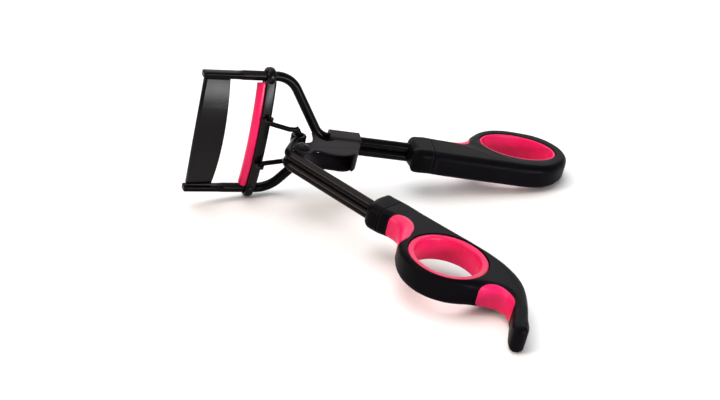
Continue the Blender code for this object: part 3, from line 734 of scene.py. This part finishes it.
# ---- bracket and pivot -------------------------------------------------------------------------
def build_bracket():
    """Folded sheet bracket: two ears, the web behind them and the sleeve on the fixed shank."""
    sleeve = round_the_wires("hinge_bracket_body", SLEEVE_START, SLEEVE_END, SLEEVE_R, 0, FIXED,
                             SATIN, SLEEVE_Y)
    fold = [(3.3, 4.7), (3.85, 4.7), (4.2, 4.3), (4.3, 2.4), (4.2, 0.3), (3.3, 0)]
    folds = [prism("fold", [(side * y, z) for y, z in fold], SLEEVE_START, SLEEVE_END, FIXED,
                   axis='X') for side in (1, -1)]
    slot = round_the_wires("slot", SLEEVE_START - 3, SLEEVE_END + 3, WIRE_R + SLOT_PLAY, 0, FIXED)
    far = EAR_INNER + EAR_THICKNESS / 2
    ears = [outline("ear", points, EAR_THICKNESS / 2, TOOL, y=side * far)
            for points, side in ((BRACKET_FAR, 1), (BRACKET_NEAR, -1))]
    hub, web_r, top, low = (40.6, 10.6), 7.4, radians(55), radians(-25)
    rear = arc(hub, web_r, top, low, 30)
    inner = arc(hub, web_r - EAR_THICKNESS, low, top, 30)
    web = prism("web", rear + inner, -far, far, TOOL)
    boolean(sleeve, [*folds, *ears, web], 'UNION')
    boolean(sleeve, [slot, drill(RIVET_R + 0.15, 8, PIVOT, TOOL)])
    bevel(sleeve, 0.13, 3, 40)
    piece(sleeve, "frame", "black_lacquer", "hinge_bracket")


def build_pivot():
    """Rivet through both ears with a washer under each head, and the bush of the handle."""
    outside = EAR_INNER + EAR_THICKNESS
    play, thick, height = 0.12, 0.4, 0.6
    under = outside + play + thick + 0.1
    dome = [(HEAD_R * sin(a), under + height * cos(a)) for a in
            [pi / 2 * k / 12 for k in range(13)]]
    dome[0] = (0.001, dome[0][1])
    shaft = [(RIVET_R, under), (RIVET_R, -under)]
    mirrored = [(r, -h) for r, h in reversed(dome)]
    rivet = make("rivet", turned(dome + shaft + mirrored, PIVOT), TOOL, STEEL)
    piece(rivet, "frame", "blackened_steel", "pivot_rivet")
    low, high, lip, hole = outside + play, outside + play + thick, 0.1, RIVET_R + 0.15
    for side, tag in ((1, "far"), (-1, "near")):
        rim = [(WASHER_R, low + lip), (WASHER_R, high - lip), (WASHER_R - lip, high),
               (hole, high), (hole, low), (WASHER_R - lip, low)]
        rim = [(radius, side * place) for radius, place in rim]
        washer = make(tag + "_washer", turned(rim, PIVOT), TOOL, NYLON)
        piece(washer, "frame", "black_nylon", tag + "_pivot_washer")
    outer, half, lip = SHANK_OFFSET - WIRE_R - 0.1, EAR_INNER - 0.3, 0.2
    bore = RIVET_R + 0.3
    tube_wall = [(outer, half - lip), (outer, -half + lip), (outer - lip, -half), (bore, -half),
                 (bore, half), (outer - lip, half)]
    bush = make("bush", turned(tube_wall, (0, 0, 0)), MOVING, STEEL)
    piece(bush, "moving_handle", "blackened_steel", "pivot_bush")


# ---- moving handle -----------------------------------------------------------------------------
def build_moving_wire(tag, side):
    """One shank wire: straight shank, bend round the pivot, lever and eye at the lever tip."""
    tip = Matrix.Rotation(MOVING_ANGLE, 3, 'Y') @ (LEVER_TIP - PIVOT)
    distance = sqrt(tip.x ** 2 + tip.z ** 2)
    bend_end = atan2(tip.z, tip.x) - atan2(sqrt(distance ** 2 - SHANK_OFFSET ** 2), SHANK_OFFSET)
    while bend_end < pi / 2:
        bend_end += 2 * pi
    bend = arc((0, 0), SHANK_OFFSET, pi / 2, bend_end, 28)
    path = [Vector((SHANK_END, 0, SHANK_OFFSET))] + [Vector((x, 0, z)) for x, z in bend]
    path.append(tip + (path[-1] - tip).normalized() * (EYE_BORE + 0.3))
    spot = Vector((0, side * WIRE_Y, 0))
    path = densified([p + spot for p in path], 0.9)
    wire = make(tag + "_shank_wire", tube(path, WIRE_R, 28), MOVING, BLACK)
    half, lip, core = 1.3, 0.3, EYE_BORE - 0.6
    eye = [(EYE_R, -half + lip), (EYE_R, half - lip),
           *arc((EYE_R - lip, half - lip), lip, 0.3, pi / 2, 3), (core, half), (core, -half),
           *arc((EYE_R - lip, -half + lip), lip, -pi / 2, -0.3, 3)]
    knuckle = make("knuckle", turned(eye, tip + spot), MOVING)
    boolean(wire, [knuckle], 'UNION')
    boolean(wire, [drill(EYE_BORE, 3, tip + spot, MOVING, 36)])
    bevel(wire, 0.12, 2, 50)
    piece(wire, "moving_handle", "black_lacquer", tag + "_moving_wire")


# ---- grips -------------------------------------------------------------------------------------
def elliptic(name, ring, profile, space, mat=None, hollow=True, steps=144):
    """Profile of (outward offset, height) carried round the ellipse of a finger ring."""
    x, z, long_half, short_half, tilt = ring
    shape = bmesh.new()
    rows = []
    for k in range(steps):
        a = 2 * pi * k / steps
        rows.append([shape.verts.new(((long_half + grow) * cos(a), (short_half + grow) * sin(a),
                                      height)) for grow, height in profile])
    sides = len(profile) if hollow else len(profile) - 1
    for here, there in zip(rows, rows[1:] + rows[:1]):
        for i in range(sides):
            j = (i + 1) % len(profile)
            shape.faces.new((here[i], there[i], there[j], here[j]))
    if not hollow:
        shape.faces.new([row[0] for row in rows])
        shape.faces.new([row[-1] for row in reversed(rows)])
    turn = Matrix.Translation((x, 0, z)) @ Matrix.Rotation(-radians(tilt), 4, 'Y') \
        @ Matrix.Rotation(pi / 2, 4, 'X')
    bmesh.ops.transform(shape, matrix=turn, verts=shape.verts)
    bmesh.ops.recalc_face_normals(shape, faces=shape.faces)
    return make(name, shape, space, mat)


def ring_profile(rim):
    """Soft ring insert: straight outside, flat lip, and a belly towards the finger."""
    half, lip, depth, square = rim
    outer, corner, belly_drop = -0.05, 0.25, 0.12
    angles = [pi / 2 * (1 - k / 12) for k in range(1, 24)]
    belly = [(-lip - (depth - lip) * cos(a) ** square, (half - belly_drop) * sin(a))
             for a in angles]
    flat_end = -max(lip - 0.15, corner + 0.1)
    return [(outer, -half + corner), (outer, half - corner), (outer - corner, half),
            (flat_end, half), *belly, (flat_end, -half), (outer - corner, -half)]


def copied(obj, name, mat):
    """A second object with the same shape and another material."""
    twin = bpy.data.objects.new(name, obj.data.copy())
    twin.matrix_world = obj.matrix_world
    bpy.context.scene.collection.objects.link(twin)
    twin.data.materials.clear()
    twin.data.materials.append(mat)
    return twin


def build_grip(name, node, points, ring, rim, inlays, seam, wires_end, wire_z, space, body):
    """Collar, grip body with its ring insert, and soft inlays, all cut from one outline."""
    grip = softened(name, points, ring, GRIP_HALF, space, SHELL)
    collar_name = node.replace("grip", "collar")
    collar = copied(grip, collar_name + "_moulded", COLLAR)
    soft = {inlay: copied(grip, inlay + "_soft", PINK) for inlay, _ in inlays}
    reach, wide, tall = 120.0, 9.0, 40.0     # past every side of a grip
    inlay_play, ring_play, end_play = 0.05, 0.12, 0.4

    front = block("front", (seam - reach, -wide, -tall), (seam - SEAM_GAP / 2, wide, tall), space)
    boolean(collar, [front], 'INTERSECT')
    boolean(collar, [round_the_wires("slot", 0, SHANK_END, WIRE_R + SLOT_PLAY, wire_z, space)])
    bevel(collar, 0.22, 3, 45)
    piece(collar, body, "collar_black", collar_name)

    rear = block("rear", (seam + SEAM_GAP / 2, -wide, -tall), (seam + reach, wide, tall), space)
    boolean(grip, [rear], 'INTERSECT')
    pocket = [(ring_play, 8), (ring_play, -8)]
    cutters = [elliptic("pocket", ring, pocket, space, hollow=False),
               round_the_wires("slot", 0, wires_end + end_play, WIRE_R + SLOT_PLAY, wire_z, space)]
    cutters += [outline("notch", region, 2 * GRIP_HALF, space, grow=inlay_play)
                for _, region in inlays]
    boolean(grip, cutters)
    bevel(grip, 0.16, 3, 50)
    piece(grip, body, "soft_touch_black", node)

    insert = elliptic(name + "_ring_insert", ring, ring_profile(rim), space, PINK)
    piece(insert, body, "pink_soft_grip", node + "_ring")
    for inlay, region in inlays:
        keep = outline("region", region, 2 * GRIP_HALF, space, grow=-inlay_play)
        boolean(soft[inlay], [keep], 'INTERSECT')
        bevel(soft[inlay], 0.14, 2, 50)
        piece(soft[inlay], body, "pink_soft_grip", inlay)


for tag, side in (("far", 1), ("near", -1)):
    build_rail(tag, side)
    build_moving_wire(tag, side)
build_plate()
build_jaw()
build_pad()
build_yoke()
build_bracket()
build_pivot()
build_grip("thumb_grip", "fixed_grip", FIXED_GRIP, FIXED_RING, FIXED_RIM,
           [("fixed_grip_inlay", FIXED_INLAY)], FIXED_SEAM, NECK + FIXED_SHANK, 0.0, FIXED, "frame")
build_grip("finger_grip", "moving_grip", MOVING_GRIP, MOVING_RING, MOVING_RIM,
           [("front_grip_inlay", FRONT_INLAY), ("tail_grip_inlay", TAIL_INLAY)], MOVING_SEAM,
           SHANK_END, SHANK_OFFSET, MOVING, "moving_handle")


# ---- floor, light, camera ----------------------------------------------------------------------
def build_floor():
    shape = bmesh.new()
    bmesh.ops.create_grid(shape, x_segments=4, y_segments=4, size=3.0)
    mesh = bpy.data.meshes.new("floor")
    shape.to_mesh(mesh)
    shape.free()
    floor = bpy.data.objects.new("floor", mesh)
    bpy.context.scene.collection.objects.link(floor)
    s = Shader("pale_floor")
    s.link(s.ramp(s.noise(0.01, 3), [(0.3, (0.90, 0.90, 0.90)), (0.8, (0.93, 0.93, 0.93))]),
           s.bsdf.inputs["Base Color"])
    s.set(Roughness=0.9, Specular_IOR_Level=0.1)
    mesh.materials.append(s.mat)


def area_light(name, spot, target, size, power, tint=(1.0, 1.0, 1.0)):
    data = bpy.data.lights.new(name, 'AREA')
    data.shape = 'RECTANGLE'
    data.size, data.size_y = size
    data.energy = power
    data.color = tint
    lamp = bpy.data.objects.new(name, data)
    lamp.location = spot
    direction = Vector(target) - Vector(spot)
    lamp.rotation_euler = direction.to_track_quat('-Z', 'Y').to_euler()
    bpy.context.scene.collection.objects.link(lamp)


def build_light():
    world = bpy.data.worlds.new("studio")
    bpy.context.scene.world = world
    world.use_nodes = True
    background = world.node_tree.nodes["Background"]
    background.inputs["Color"].default_value = (1.0, 1.0, 1.0, 1.0)
    background.inputs["Strength"].default_value = 0.38
    area_light("top_softbox", (-0.15, 0.2, 1.2), (0, 0, 0.02), (1.3, 1.1), 13.0)
    area_light("back_softbox", (0.35, 1.0, 0.5), (0, 0, 0.02), (1.8, 0.8), 7.0)
    area_light("left_softbox", (-0.9, 0.0, 0.5), (0, 0, 0.02), (0.3, 0.4), 6.0, (1.0, 0.76, 0.62))
    area_light("front_card", (0.42, -1.0, 0.12), (0, 0, 0.03), (0.5, 0.16), 4.0)
    area_light("side_card", TOOL @ Vector((0.150, 0.034, 0.320)), TOOL @ Vector((0.005, 0, 0)),
               (0.16, 0.10), 1.1)


def build_camera():
    """75 mm lens, placed in the tool's own frame: over the opening side, in front of the plate."""
    right = Vector((0.914020, 0.210126, 0.347009)).normalized()
    back = Vector((-0.405670, 0.472291, 0.782543))
    back = (back - right * back.dot(right)).normalized()
    up = back.cross(right)
    data = bpy.data.cameras.new("camera")
    data.lens = 75.0
    data.sensor_width = 36.0
    data.clip_start = 0.01
    data.clip_end = 10.0
    camera = bpy.data.objects.new("camera", data)
    turn = Matrix((right, up, back)).transposed().to_4x4()
    place = Matrix.Translation(Vector((-134.44, 201.26, 372.37)) * MM)
    camera.matrix_world = TOOL @ place @ turn
    bpy.context.scene.collection.objects.link(camera)
    bpy.context.scene.camera = camera
    bpy.context.scene.view_settings.view_transform = 'Standard'


build_floor()
build_light()
build_camera()
